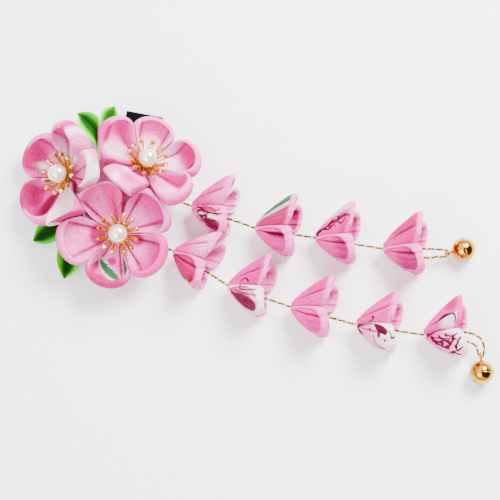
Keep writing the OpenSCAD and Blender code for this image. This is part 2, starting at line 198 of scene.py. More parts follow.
PETAL_LEN, PETAL_HIGH, PETAL_CLOTH, PETAL_FLOOR = 22.0, 9.5, 1.5, 1.8
PETAL_SWELL, PETAL_GAP = 2.0, 0.3
PETAL_START, RAISE_FROM, RIDGE_LOW, SIDE_REACH = 2.6, 6.0, 0.30, 0.70
PRESS, PRESS_FROM = 0.8, 4.0
PEARL_D, PLATE_D, PLATE, STAMEN_REACH, STAMEN_RISE = 8.0, 6.4, 0.6, 8.0, 4.2
STAMEN_WIRE, STAMEN_TIP, SEAT = 0.7, 1.7, 0.3

# Blossoms: middle of the pearl, then which way and how far the blossom leans
SPOTS = {
    "a": (-29.8, 0.3, 21.1, 180, 38),
    "b": (8.0, 6.8, 22.4, 50, 28),
    "c": (-4.3, -25.2, 20.6, -90, 12),
}

# Upright walls where petals and leaves press on each other: a point, and the way of one side
WALLS = {
    "a_b": (-11.4, 3.0, 187.0),
    "a5_c1": (-16.1, -6.5, 113.3),
    "a4_c1": (-20.1, -12.0, 214.4),
    "a4_c5": (-23.0, -18.3, 106.0),
    "b5_c1": (-5.0, -5.4, 49.0),
    "b5_c2": (4.7, -7.9, 123.0),
    "b4_c2": (12.0, -9.9, 38.8),
    "l1_l2": (-13.6, 22.0, 176.0),
    "l3_l4": (-28.6, -24.0, 140.0),
}

# Petals: turn, half width, length, height, raise, roll, and the walls with the side taken. c2
# and c3 are a little wider than in the source, so that the clip doesn't show between them
PETALS = {
    "a1": (143, 34, 1.01, 1.00, 0, 0, ()),
    "a2": (67, 37, 0.97, 1.05, 8, -24, (("a_b", 1),)),
    "a3": (215, 35, 1.05, 1.00, 0, 0, ()),
    "a4": (281, 31, 1.15, 1.00, 4, 10, (("a4_c1", 1), ("a4_c5", 1))),
    "a5": (-1, 30, 1.00, 1.00, 10, 0, (("a_b", 1), ("a5_c1", 1))),
    "b1": (149, 39, 1.03, 1.00, 4, -8, (("a_b", -1),)),
    "b2": (76, 32, 0.94, 1.00, 0, 0, ()),
    "b3": (14, 28, 1.02, 1.00, 0, 0, ()),
    "b4": (-49, 32, 1.00, 1.00, 4, 6, (("b4_c2", 1),)),
    "b5": (-122, 40, 1.08, 0.95, 8, 0, (("a_b", -1), ("b5_c1", 1), ("b5_c2", 1))),
    "c1": (118, 35, 1.08, 1.00, 0, 0, (("a5_c1", -1), ("a4_c1", -1), ("b5_c1", -1))),
    "c2": (38, 38, 1.02, 1.00, 0, 0, (("b5_c2", -1), ("b4_c2", -1))),
    "c3": (-36.5, 36, 0.94, 1.00, 0, 0, ()),
    "c4": (-106, 33, 0.96, 1.00, 0, 0, ()),
    "c5": (187, 34, 1.08, 1.00, 0, 0, (("a4_c5", -1),)),
}


def sin(degrees):
    return np.sin(np.radians(degrees))


def cos(degrees):
    return np.cos(np.radians(degrees))


def circle(count):
    """Angles of points round a circle."""
    return np.arange(count) * 2 * math.pi / count


def unit(v):
    """Vectors at length 1."""
    return v / np.linalg.norm(v, axis=-1, keepdims=True)


def turned(p, angle):
    x, y, z = p[..., 0], p[..., 1], p[..., 2]
    return np.stack([x * cos(angle) - y * sin(angle), x * sin(angle) + y * cos(angle), z], -1)


def leant(p, way, angle):
    """Leans points over towards a direction in plan."""
    q = turned(p, -way)
    x, y, z = q[..., 0], q[..., 1], q[..., 2]
    return turned(np.stack([x * cos(angle) + z * sin(angle), y,
                            z * cos(angle) - x * sin(angle)], -1), way)


def pressed(p, walls):
    """Moves points softly to their own side of each wall."""
    p = p.copy()
    seat = PETAL_GAP / 2
    for name, side in walls:
        x, y, way = WALLS[name]
        out = side * np.array([cos(way), sin(way), 0])
        d = (p - np.array([x, y, 0])) @ out
        soft = PRESS * np.log1p(np.exp(np.clip((d - seat) / PRESS, -60, 60)))
        p += (seat + soft - d)[..., None] * out
    return p


def ridge(r, length, high):
    return high * (RIDGE_LOW + (1 - RIDGE_LOW) * (r / length) ** 1.3)


STAMEN_SEAT = ridge(PLATE_D / 2, 0.9 * PETAL_LEN, 1.05 * PETAL_HIGH) + SEAT
PEARL_UP = STAMEN_SEAT + PLATE + SEAT + PEARL_D / 2


def foot_of(spot):
    """Middle of a blossom's foot, under its pearl."""
    return np.array(spot[:3]) - leant(np.array([0, 0, PEARL_UP]), spot[3], spot[4])


def smooth_curve(points, steps):
    """Points on a smooth curve through rows of points, steps to each stretch."""
    p = np.asarray(points, float)
    before = np.concatenate([p[:1], p[:-1]])
    after = np.concatenate([p[1:], p[-1:]])
    out = []
    for i in range(len(p) - 1):
        a, b, c, d = before[i], p[i], p[i + 1], after[i + 1]
        for t in np.arange(steps) / steps:
            out.append(0.5 * (2 * b + (c - a) * t + (2 * a - 5 * b + 4 * c - d) * t * t
                              + (3 * b - a - 3 * c + d) * t ** 3))
    return np.array(out + [p[-1]])


def in_units(row):
    """Row of a table with its hundredths as ones; colours stay as they are."""
    return [v if isinstance(v, str) else v / 100 for v in row]


def soft_noise(p, size, seed):
    """Smooth noise from -1 to 1 at points, with lumps of about that size."""
    local = np.random.default_rng(seed)
    total = 0
    for _ in range(5):
        way = local.normal(size=3)
        way *= 2 * math.pi / (size * 2 * np.linalg.norm(way)) * local.uniform(0.7, 1.4)
        total = total + np.sin(p @ way + local.uniform(0, 6.28))
    return total / 3


def bell_curve(x, middle, width):
    return np.exp(-((x - middle) / width) ** 2)


def ramp(x, start, end):
    """Smooth step from 0 at start to 1 at end."""
    t = np.clip((x - start) / (end - start), 0, 1)
    return t * t * (3 - 2 * t)


# Meshes

def stand_for(piece, node):
    """Makes a piece stand for a node of the model."""
    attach(piece, "root")
    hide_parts(node)
    return piece


def make_piece(name, points, faces, material, node, colours=None, ink=None, sharp=50):
    """Piece from points in millimetres that stands for a node of the model."""
    mesh = bpy.data.meshes.new(name)
    mesh.from_pydata((np.asarray(points) * MM).tolist(), [], faces)
    mesh.polygons.foreach_set("use_smooth", [True] * len(mesh.polygons))
    mesh.set_sharp_from_angle(angle=math.radians(sharp))
    if colours is not None:
        dye = mesh.attributes.new("dye", "FLOAT_COLOR", "POINT")
        rgba = np.concatenate([colours, np.ones((len(colours), 1))], 1)
        dye.data.foreach_set("color", rgba.astype(np.float32).ravel())
    if ink is not None:
        mark = mesh.attributes.new("ink", "FLOAT", "POINT")
        mark.data.foreach_set("value", ink.astype(np.float32))
    mesh.materials.append(material)
    return stand_for(new_object(name, mesh), node)


def loft_faces(rows, ring, ends=True):
    """Faces of a tube from rows of closed rings."""
    last = (rows - 1) * ring
    faces = []
    for a in range(0, last, ring):
        for i in range(ring):
            k = (i + 1) % ring
            faces.append((a + i, a + k, a + ring + k, a + ring + i))
    if ends:
        faces.append(tuple(range(ring - 1, -1, -1)))
        faces.append(tuple(range(last, last + ring)))
    return faces


# Blossom petals

def places_across(half):
    """Places from -1 to 1 across a petal, closer together at its sides."""
    quarter = np.linspace(0, math.pi / 2, half)
    return np.concatenate([-np.cos(quarter)[:-1], np.sin(quarter)])


# Side ridges and creases across a petal: place, lift of the bowl from floor to ridge
LIFT_AT = (0.0, 0.30, 0.50, 0.60, 0.68, 0.78, 0.86, 0.94, 1.00)
LIFT = (0.12, 0.09, 0.03, 0.00, 0.16, 0.42, 0.74, 1.00, 0.80)
CREASE_AT, CREASE_WIDTH, CREASE_DEEP = 0.60, 0.04, 1.4
ACROSS = places_across(22)
STEPS = 8              # points to each stretch of the profile
RIM_KNOT, LIP_KNOT = 6, 7      # rows of the profile: crown of the rim, and its inner lip

# Painted shade under the rim and in the creases, as a share of the dye's red, green and blue
RIM_SHADE, CREASE_SHADE = np.array([0.80, 0.48, 0.62]), np.array([0.52, 0.12, 0.26])
LUMP = 0.22            # height of the cloth's soft lumps

# Petals folded up so that the outer wall shows: how far the rim stands in from the end
STAND = {"b5": 9.0}
SINK, SINK_REACH = 0.5, 4.0      # how much such a wall sinks where its neighbours press it
WRINKLE = 0.32         # height of its wrinkles


def petal_profile(row, across, stand):
    """Profile of a petal at one place across it, from under its foot over the rim to the
    bowl's root, as distance and height."""
    length, high = PETAL_LEN * row[2], PETAL_HIGH * row[3]
    reach = length * (SIDE_REACH + (1 - SIDE_REACH) * math.sqrt(max(0, 1 - across * across)))
    top = ridge(reach, length, high)
    lift = np.interp(abs(across), LIFT_AT, LIFT)
    groove = CREASE_DEEP * bell_curve(abs(across), CREASE_AT, CREASE_WIDTH)
    rim = reach - stand * (1 - across ** 4)
    crown = top + 0.1 * (reach - rim)
    inner = np.array([rim - 2.2 * PETAL_CLOTH, 0.72 * rim, 0.42 * rim, PETAL_START])
    bowl = PETAL_FLOOR - groove + lift * (ridge(inner, length, high) - PETAL_FLOOR)
    return [
        (PETAL_START, 0), (0.45 * reach, 0), (0.80 * reach, 0.2),
        (0.94 * reach + 0.5 * PETAL_SWELL, 0.22 * top),
        (reach + PETAL_SWELL, 0.52 * top),
        (reach + 0.7 * PETAL_SWELL, 0.82 * top),
        (rim, crown),
        (rim - PETAL_CLOTH, 0.97 * crown),
        (rim - PETAL_CLOTH - 0.15, 0.97 * crown - 0.3),
        (inner[0], bowl[0] + 0.2 * (crown - bowl[0])),
        *zip(inner[1:], bowl[1:]),
    ]


def lifted(q, row, across):
    """Raises the outer part of a petal, and its rim more towards one side."""
    out = np.maximum(0, q[:, 0] - RAISE_FROM)
    roll, half, rise = row[5], row[1], row[4]
    tall = out * (np.tan(np.radians(roll)) * sin(across * half)
                  + np.tan(np.radians(abs(roll))) * sin(half))
    rolled = tall * np.maximum(0, q[:, 1]) / (PETAL_HIGH * row[3])
    x = np.where(out > 0, RAISE_FROM + out * cos(rise) - q[:, 1] * sin(rise), q[:, 0])
    y = np.where(out > 0, q[:, 1] * cos(rise) + out * sin(rise) + rolled, q[:, 1])
    return np.stack([x, y], 1)


def blended(colour, tint, amount):
    """Dye with an amount of a tint over it, point by point."""
    amount = np.clip(amount, 0, 1)[:, None]
    return colour * (1 - amount) + tint * amount


def patch_amount(across, along, u, w, wide, tall, soft):
    """How much of a round patch's dye points take: 1 inside it, 0 outside."""
    return 1 - ramp(np.hypot((across - u) / wide, (along - w) / tall), 1 - soft, 1 + soft)


def petal_colours(along, across, share, paint):
    """Dye of a petal's points, with painted shade under the rim and in the creases and a painted
    highlight along the side ridges. Along counts the profile's knots and share is the distance
    from the blossom's middle, 0 to 1."""
    wall, rim, end, floor = map(dye_of, paint[:4])
    far = np.abs(across)
    inside = ramp(along, LIP_KNOT + 0.4, LIP_KNOT + 1.0)
    colour = np.outer(np.ones_like(along), wall)
    # partly painted highlight: the rim's paler tone along its crown; partly painted shade: the
    # bowl's deeper end under the rim
    colour = blended(colour, rim, ramp(along, RIM_KNOT - 1.4, RIM_KNOT - 0.3))
    colour = blended(colour, end, inside)
    colour = blended(colour, floor, inside * (1 - ramp(share, 0.45, 0.95)))
    # painted shade: a dark line just inside the rim's lip
    colour = blended(colour, colour * RIM_SHADE, 0.6 * bell_curve(along, LIP_KNOT + 0.9, 0.4))
    # painted highlight: a paler band along each side ridge of the bowl
    colour = blended(colour, wall + 0.5 * (1 - wall), 0.35 * bell_curve(far, 0.80, 0.10) * inside)
    # painted shade along the creases between the bowl's floor and its side strips
    colour = blended(colour, colour * CREASE_SHADE, bell_curve(far, CREASE_AT, 0.045) * inside)
    for where, *patch in paint[4:]:
        u, w, wide, tall, tint, soft, *slant = in_units(patch)
        side = inside if where == "in" else 1 - inside
        middle = w + (across - u) * (slant[0] if slant else 0)
        colour = blended(colour, dye_of(tint),
                         side * patch_amount(across, share, u, middle, wide, tall, soft))
    return np.clip(colour, 0, 1)


# Dye of each petal: wall, rim, bowl's end and floor, then patches: in the bowl or out on the
# wall; place across and from the middle, half width and half length, in hundredths; colour;
# softness and slant in hundredths. The rim, mostly paler than the wall, is partly the print and
# partly a painted highlight along its crown; the bowl's end, mostly deeper than its floor, is
# partly the print and partly painted shade under the rim
PAINT = {
    "a1": (LIGHT, PALE, MID, LIGHT, ("in", 15, 86, 42, 22, MAGENTA, 40),
        ("in", -30, 50, 30, 20, PALE, 50), ("in", 45, 68, 22, 14, WHITE, 50),
        ("out", 35, 95, 40, 30, MAGENTA, 50)),
    "a2": (LIGHT, PALE, MID, WHITE, ("in", -45, 90, 40, 14, ROSE, 40),
        # a2's narrow near-black patch in the bowl is painted shade in the slit between its two
        # rolled lobes
        ("in", 34, 84, 22, 24, MID, 50), ("in", 10, 70, 4.5, 42, "#4A0018", 35),
        ("out", -52, 98, 17, 50, WHITE, 60), ("out", -95, 90, 22, 60, PALE, 50),
        ("out", -20, 95, 18, 50, MID, 60), ("out", 30, 95, 30, 40, PALE, 60)),
    "a3": (LIGHT, PALE, MID, MID, ("in", 5, 62, 40, 14, LIGHT, 50),
        ("in", -50, 88, 50, 24, MAGENTA, 30), ("in", 42, 60, 42, 30, "#A4005C", 25),
        ("out", -50, 95, 50, 30, MAGENTA, 30)),
    "a4": (MID, LIGHT, LIGHT, WHITE, ("in", 60, 80, 35, 40, MAGENTA, 40),
        ("in", -40, 70, 60, 60, WHITE, 40), ("out", -70, 90, 40, 30, WHITE, 40),
        ("out", 10, 95, 50, 30, MAGENTA, 40)),
    "a5": (PALE, WHITE, PALE, PALE, ("out", -30, 95, 45, 50, WHITE, 60)),
    "b1": (LIGHT, PALE, LIGHT, PALE, ("in", -65, 78, 20, 45, MID, 40),
        ("in", 15, 60, 40, 35, "#F8C8E0", 60), ("in", 30, 62, 5, 40, WHITE, 50),
        ("in", 2, 91, 24, 9, MAGENTA, 30), ("out", 20, 95, 40, 30, MID, 40)),
    "b2": (PALE, PALE, LIGHT, WHITE),
    "b3": (LIGHT, PALE, MID, WHITE, ("in", 10, 86, 45, 12, MAGENTA, 70),
        ("in", -55, 90, 14, 10, DEEP, 40)),
    "b4": (LIGHT, PALE, WHITE, PALE, ("in", 62, 72, 24, 42, MID, 30)),
    # b5's white patch is a painted highlight on the strap, and its thin deeper pink bands painted
    # shade in the strap's folds
    "b5": (PALE, PALE, PALE, PALE, ("out", -45, 86, 14, 60, WHITE, 90),
        ("out", 55, 92, 30, 10, LIGHT, 90), ("out", -10, 70, 50, 6, LIGHT, 90)),
    # c1's deeper pink half is painted shade on the side of its fold turned away from the light
    "c1": (PALE, PALE, PALE, PALE, ("in", -62, 75, 42, 90, LIGHT, 8)),
    "c2": (LIGHT, PALE, MID, PALE),
    "c3": (LIGHT, LIGHT, MID, PALE, ("in", 50, 35, 50, 16, MAGENTA, 40)),
    "c4": (LIGHT, PALE, LIGHT, PALE, ("in", 5, 56, 26, 7, MAGENTA, 20),
        ("in", -22, 93, 26, 6, MAGENTA, 20), ("in", -62, 80, 15, 14, MAGENTA, 30),
        ("in", -3, 75, 66, 11.5, WHITE, 10, 22), ("in", -3, 75, 58, 8.2, SAGE, 8, 22),
        ("in", 85, 72, 10, 26, SAGE, 20), ("in", 20, 97, 50, 4, MAGENTA, 20),
        ("out", 0, 90, 80, 30, MAGENTA, 40)),
    "c5": (LIGHT, PALE, PALE, PALE, ("in", -10, 36, 90, 14, MAGENTA, 20)),
}


def make_petal(name, material):
    row = PETALS[name]
    spot = SPOTS[name[0]]
    foot = foot_of(spot)
    points, along, across, share = [], [], [], []
    for u in ACROSS:
        q = smooth_curve(petal_profile(row, u, STAND.get(name, 0)), STEPS)
        flat = lifted(q, row, u)
        angle = row[0] + u * row[1]
        own = PETAL_GAP / 2 / sin(row[1])
        local = np.stack([own * cos(row[0]) + flat[:, 0] * cos(angle),
                          own * sin(row[0]) + flat[:, 0] * sin(angle), flat[:, 1]], 1)
        place = foot + leant(local, spot[3], spot[4])
        free = np.clip((q[:, 0] - PRESS_FROM) / PRESS_FROM, 0, 1)[:, None]
        moved = free * (pressed(place, row[6]) - place)
        place = place + moved
        if name in STAND:
            place[:, 2] -= SINK * np.minimum(np.linalg.norm(moved, axis=1), SINK_REACH)
        points.append(place)
        along.append(np.arange(len(q)) / STEPS)
        across.append(np.full(len(q), u))
        share.append(q[:, 0] / (PETAL_LEN * row[2]))
    ring = len(points[0])
    points = np.concatenate(points)
    along, across, share = (np.concatenate(t) for t in (along, across, share))
    loose = ramp(along, 2, 4) * (1 - ramp(along, 10, 12)) * (1 - np.abs(across) ** 8)
    points[:, 2] += LUMP * loose * soft_noise(points, 5.0, sum(map(ord, name)))
    if name in STAND:
        points[:, 2] += WRINKLE * loose * np.sin(9 * along + 2.2 * across)
    piece = make_piece("blossom_" + name, points, loft_faces(len(ACROSS), ring), material,
                       "petal_" + name, petal_colours(along, across, share, PAINT[name]))


# Pearls and stamens

def frame_of(spot):
    """Axes of a blossom that leans: rows are its own X, Y and Z."""
    return np.array([leant(np.eye(3)[i], spot[3], spot[4]) for i in range(3)])


def tube(path, radius, sides):
    """Points and faces of a round tube along a path; the radius may change along it."""
    path = np.asarray(path, float)
    radius = np.broadcast_to(radius, len(path))
    ahead = unit(np.gradient(path, axis=0))
    up = np.array([0, 0, 1.0])
    if abs(ahead[0] @ up) > 0.9:
        up = np.array([1.0, 0, 0])
    turn, points = circle(sides), []
    for p, way, r in zip(path, ahead, radius):
        across = unit(np.cross(way, up))
        up = np.cross(across, way)
        points.append(p + r * (np.outer(np.cos(turn), across) + np.outer(np.sin(turn), up)))
    return np.concatenate(points), loft_faces(len(path), sides)


def joined(parts):
    """One list of points and one of faces from several."""
    points, faces, base = [], [], 0
    for p, f in parts:
        points.append(p)
        faces += [tuple(base + i for i in face) for face in f]
        base += len(p)
    return np.concatenate(points), faces


def ball(middle, radius, rows, sides, axes=np.eye(3)):
    """Points and faces of a ball; a radius of three numbers stretches it along its axes."""
    tilt = np.linspace(0.02, math.pi - 0.02, rows)
    turn = circle(sides)
    ring = np.stack([np.outer(np.sin(tilt), np.cos(turn)), np.outer(np.sin(tilt), np.sin(turn)),
                     np.outer(np.cos(tilt), np.ones(sides))], -1).reshape(-1, 3)
    return np.asarray(middle) + (ring * radius) @ axes, loft_faces(rows, sides)


# Rings of the ribbed plate: radius and height
PLATE_RINGS = ((PLATE_D / 2, 0.0), (4.6, 0.5), (4.9, 1.1), (4.3, 1.0), (PLATE_D / 2, PLATE))
PLATE_SIDES = 72       # points round the plate
SWAY = 0.45            # how far a stamen's tip stands to one side at most


def make_stamens(which, wire):
    """Twelve bent wires with cut tips, on a ribbed plate."""
    spot = SPOTS[which]
    axes, foot = frame_of(spot), foot_of(spot)
    start = PLATE_D / 2 - STAMEN_WIRE
    low = STAMEN_SEAT + PLATE / 2
    turn = np.linspace(0, 2 * math.pi, PLATE_SIDES + 1)[:-1]
    waves = [(r + 0.12 * np.cos(24 * turn), z) for r, z in PLATE_RINGS]
    plate = [np.stack([wave * np.cos(turn), wave * np.sin(turn),
                       np.full(PLATE_SIDES, STAMEN_SEAT + z)], 1) for wave, z in waves]
    shapes = [(np.concatenate(plate), loft_faces(len(plate), PLATE_SIDES))]
    for angle in range(15, 375, 30):
        way = np.array([cos(angle), sin(angle), 0])
        side = np.array([-way[1], way[0], 0])
        sway = rng.uniform(-SWAY, SWAY)
        t = np.linspace(0, 1, 9)[:, None]
        reach = start + (STAMEN_REACH - start) * t ** 0.9
        height = low + STAMEN_RISE * t ** 1.25
        path = reach * way + height * np.array([0, 0, 1]) + sway * t * t * side
        shapes.append(tube(path, STAMEN_WIRE / 2 * (2.2 + 0.4 * t[:, 0] ** 2), 10))
        lean_out = unit(path[-1] - path[-3])
        tip_axes = np.stack([side, np.cross(lean_out, side), lean_out])
        tip = STAMEN_TIP / 2 * np.array([1.35, 1.35, 1.5])
        shapes.append(ball(path[-1] + 0.1 * lean_out, tip, 5, 6, tip_axes))
    points, faces = joined(shapes)
    make_piece("stamens_of_" + which, foot + points @ axes, faces, wire,
               "stamens_" + which, sharp=32)


def make_pearl(which, material):
    """A moulded bead, a little uneven under its coat."""
    points, faces = ball((0, 0, 0), PEARL_D / 2, 48, 64)
    points *= 1 + 0.004 * soft_noise(points, 3.0, ord(which))[:, None]
    make_piece("bead_" + which, points + SPOTS[which][:3], faces, material, "pearl_" + which)


# Leaves

PAD_MID, PAD_R, LEAF_OFF, LEAF_HALF, LEAF_CLOTH, LEAF_CUP = (-8, -5), 15, 0.9, 5.75, 1.2, 3
# Root by angle, bend and tip in plan, heights of root, bend and tip, width and cup, wall, side
LEAVES = {
    "1": (97, -14.0, 23.0, -23.2, 30.0, 8.3, 6.0, 5.0, 0.82, 1.0, "l1_l2", 1),
    "2": (90, -13.0, 23.0, -7.2, 32.8, 8.3, 6.0, 5.5, 0.90, 1.0, "l1_l2", -1),
    "3": (197, -31.0, -19.5, -41.4, -25.0, 7.9, 0.8, 2.2, 0.94, 0.5, "l3_l4", 1),
    "4": (213, -24.0, -28.0, -27.9, -41.3, 8.1, 2.5, 3.0, 1.00, 1.0, "l3_l4", -1),
}
LEAF_ALONG = (0.00, 0.20, 0.42, 0.62, 0.80, 0.93, 1.00)
LEAF_WIDE = (0.14, 0.50, 0.86, 1.00, 0.80, 0.38, 0.05)
LEAF_CUPS = (0.20, 0.60, 1.00, 1.00, 0.80, 0.45, 0.10)
# Green of a leaf's rim in painted light, and of its folded inside in painted shade
LEAF_LIT_AND_SHADED_GREEN = {"1": ("#8CFF00", "#1A6A00"), "2": ("#84FA00", "#227A00"),
            "3": ("#66D800", "#145600"), "4": ("#70E400", "#165A00")}


def make_leaf(which, material):
    """A folded green petal: two thick edges and a fold between them, with painted shade in the
    fold and on the underside, and painted light on the edges and towards the tip.
    """
    angle, bx, by, tx, ty, z0, z1, z2, wide, cup, wall, side = LEAVES[which]
    root = np.array([PAD_MID[0] + (PAD_R + LEAF_OFF) * cos(angle),
                     PAD_MID[1] + (PAD_R + LEAF_OFF) * sin(angle), z0])
    bend, end = np.array([bx, by, z1]), np.array([tx, ty, z2])
    knots = smooth_curve(np.stack([LEAF_ALONG, LEAF_WIDE, LEAF_CUPS], 1), 6)
    s = np.sin(np.linspace(-math.pi / 2, math.pi / 2, 25))
    edge_line = np.concatenate([s, s[::-1]])
    top = np.concatenate([np.ones(25), -np.ones(25)])
    rim, fold = map(dye_of, LEAF_LIT_AND_SHADED_GREEN[which])
    points, colours = [], []
    for t, w, c in knots:
        t = min(max(t, 0), 1)
        mid = (1 - t) ** 2 * root + 2 * t * (1 - t) * bend + t * t * end
        ahead = (1 - t) * (bend - root) + t * (end - bend)
        across = np.array([-ahead[1], ahead[0], 0]) / math.hypot(ahead[0], ahead[1])
        rise = edge_line ** 2 * LEAF_CUP * cup * c
        thick = LEAF_CLOTH / 2 * (0.35 + 0.65 * np.sqrt(1 - 0.98 * edge_line ** 8))
        groove = 0.5 * bell_curve(edge_line, 0, 0.07) * (top > 0)
        ring = mid + np.outer(edge_line * LEAF_HALF * wide * max(w, 0.03), across)
        ring[:, 2] += rise + top * thick - groove
        points.append(ring)
        # painted light and shade: rims and tip take the lit green, the fold the shaded one, the
        # underside lies between
        lit = ramp(np.abs(edge_line), 0.30, 0.9) * (top > 0) + 0.75 * (top < 0)
        lit = np.clip(lit + 0.3 * ramp(t, 0.85, 1.0), 0, 1)
        colours.append(fold + lit[:, None] * (rim - fold))
    points = pressed(np.concatenate(points), ((wall, side),))
    points[:, 2] += 0.12 * soft_noise(points, 4.0, int(which))
    piece = make_piece("folded_leaf_" + which, points, loft_faces(len(knots), 50), material,
                       "leaf_" + which, np.concatenate(colours))


# Hanging blossoms

DROP_LEN, DROP_MOUTH, DROP_CLOTH, DROP_CREASE, DROP_LEAN = 18.0, 15.5, 1.2, 1.0, 12
DROP_HALF, DROP_FLAT, DROP_LOW, DROP_HOLE = 45, 0.85, 0.66, 0.85
DROP_APEX = DROP_LOW * DROP_MOUTH * cos(DROP_LEAN) - 0.84 * DROP_LEN * sin(DROP_LEAN)
# Petals: direction from straight up, length and spread as shares, curl of the mouth
DROP_PETALS = ((50, 1.02, 1.03, 0.2), (-40, 1.00, 0.96, 1.0), (-130, 0.88, 0.84, 0.8),
               (140, 1.00, 0.94, 0.4))
DROP_ALONG = (0.0, 0.24, 0.54, 0.84, 1.00)
DROP_STRAIGHT = (0.0, 0.32, 0.62, 0.90, 1.00)
DROP_CURLED = (0.0, 0.42, 0.80, 1.00, 0.90)
# Ribs and the valleys between them across a petal, as shares of its crown
RIB_AT = (0.0, 0.42, 0.72, 1.0)
RIB_SPREAD = (1.0, 0.90, 0.80, 0.46)
RIB_LENGTH = (1.0, 0.98, 0.94, 0.80)
FOLD_AT, FOLD_WIDTH = 0.42, 0.07
# Fine folds beside the two deep ones: place across, depth as a share of theirs
FINE_FOLDS, FINE_WIDTH = ((0.16, 0.3), (0.66, 0.35)), 0.03
# Face of the lower petal inside its raised rim: middle across and along, half width and half
# length, and its depth
FACE_ACROSS, FACE_ALONG, FACE_HALF, FACE_LONG, FACE_DEEP = 0.15, 0.47, 0.68, 0.44, 0.7
FACED = 1              # the lower petal, by its place in the row of petals
DROP_LUMP, OFF_FLOOR = 0.18, 0.02
HALF_ROUND = 11.0      # distance round a hanging petal from crown to side, at its mouth
BACK_FADE = 0.65       # how much fainter a patch is on the cloth's inner side
NO_INK = -5.0
# Painted shade in the folds and under the rim of the face, as a share of the dye's red, green,
# blue
FOLD_SHADE, FACE_SHADE = np.array([0.42, 0.06, 0.18]), np.array([0.62, 0.12, 0.28])
# Apex in plan and heading
DROPS = {
    "u1": (26.3, -11.0, -7), "u2": (53.2, -20.3, -3), "u3": (78.5, -24.5, 1),
    "u4": (107.0, -29.1, 2), "d1": (19.0, -30.5, -22), "d2": (41.8, -45.0, -7),
    "d3": (68.0, -54.0, -6), "d4": (95.3, -61.4, -4), "d5": (123.6, -65.7, 6),
}
DROP_SIDES = places_across(26)
DROP_RUN = np.concatenate([np.linspace(0, 0.82, 28), np.linspace(0.845, 1.0, 10)])
LIP_TURNS = np.linspace(0, math.pi, 9)[1:-1]

# Dye of the four petals of each hanging blossom: root, mouth, lip; then patches with the place
# across and along, half width and half length, colour and softness, all in hundredths
PLAIN = (LIGHT, LIGHT, PALE)
DROP_PAINT = {
    "u1": ((LIGHT, PALE, PALE, (-10, 50, 30, 50, LIGHT, 50)),
        (PALE, PALE, PALE, (80, 56, 32, 44, "#CC0880", 12), (34, 66, 18, 36, WHITE, 12),
         (-4, 66, 28, 26, DEEP, 30)), PLAIN, (PALE, PALE, WHITE)),
    "u2": ((LIGHT, MAGENTA, PALE, (-80, 50, 62, 42, MAGENTA, 8), (-2, 60, 36, 90, WHITE, 10),
         (10, 60, 38, 90, SAGE, 10)), (LIGHT, MID, PALE, (42, 70, 12, 40, DEEP, 50)), PLAIN,
        (MAGENTA, MAGENTA, PALE)),
    "u3": ((LIGHT, LIGHT, PALE, (20, 70, 45, 60, "#D9C6D4", 10), (-75, 95, 40, 20, MID, 50)),
        (LIGHT, MID, PALE, (42, 80, 35, 25, ROSE, 60), (-30, 85, 35, 25, ROSE, 60)), PLAIN,
        (LIGHT, MID, PALE)),
    "u4": ((LIGHT, MID, PALE, (15, 62, 72, 42, MAGENTA, 20)),
        (LIGHT, MID, PALE, (30, 75, 45, 35, ROSE, 60), (-30, 75, 45, 35, ROSE, 60)), PLAIN,
        (PALE, LIGHT, PALE)),
    "d1": ((LIGHT, "#F8B8E0", PALE, (18, 70, 14, 36, MAGENTA, 40)),
        ("#C40080", "#C40080", PALE, (-12, 82, 20, 10, "#A80020", 60)), PLAIN, (PALE, PALE, PALE)),
    "d2": ((LIGHT, MID, PALE),
        (LIGHT, WHITE, WHITE, (0, 52, 38, 38, DEEP, 12), (84, 55, 12, 38, ROSE, 40)), PLAIN,
        (PALE, PALE, PALE)),
    "d3": ((LIGHT, LIGHT, PALE, (-10, 75, 40, 30, MID, 50)),
        (LIGHT, LIGHT, PALE, (10, 75, 50, 30, MID, 60)), PLAIN, (LIGHT, PALE, PALE)),
    "d4": ((LIGHT, LIGHT, PALE, (15, 85, 35, 25, MID, 40)),
        (PALE, WHITE, WHITE, (-45, 60, 20, 60, "#D9C6D4", 40)), (WHITE, WHITE, WHITE),
        (PALE, LIGHT, PALE)),
    "d5": ((LIGHT, LIGHT, LIGHT, (25, 84, 66, 26, MAGENTA, 25), (-70, 80, 30, 30, WHITE, 40)),
        (LIGHT, WHITE, WHITE, (10, 45, 40, 30, PALE, 50)), (WHITE, WHITE, WHITE),
        (LIGHT, MID, PALE)),
}

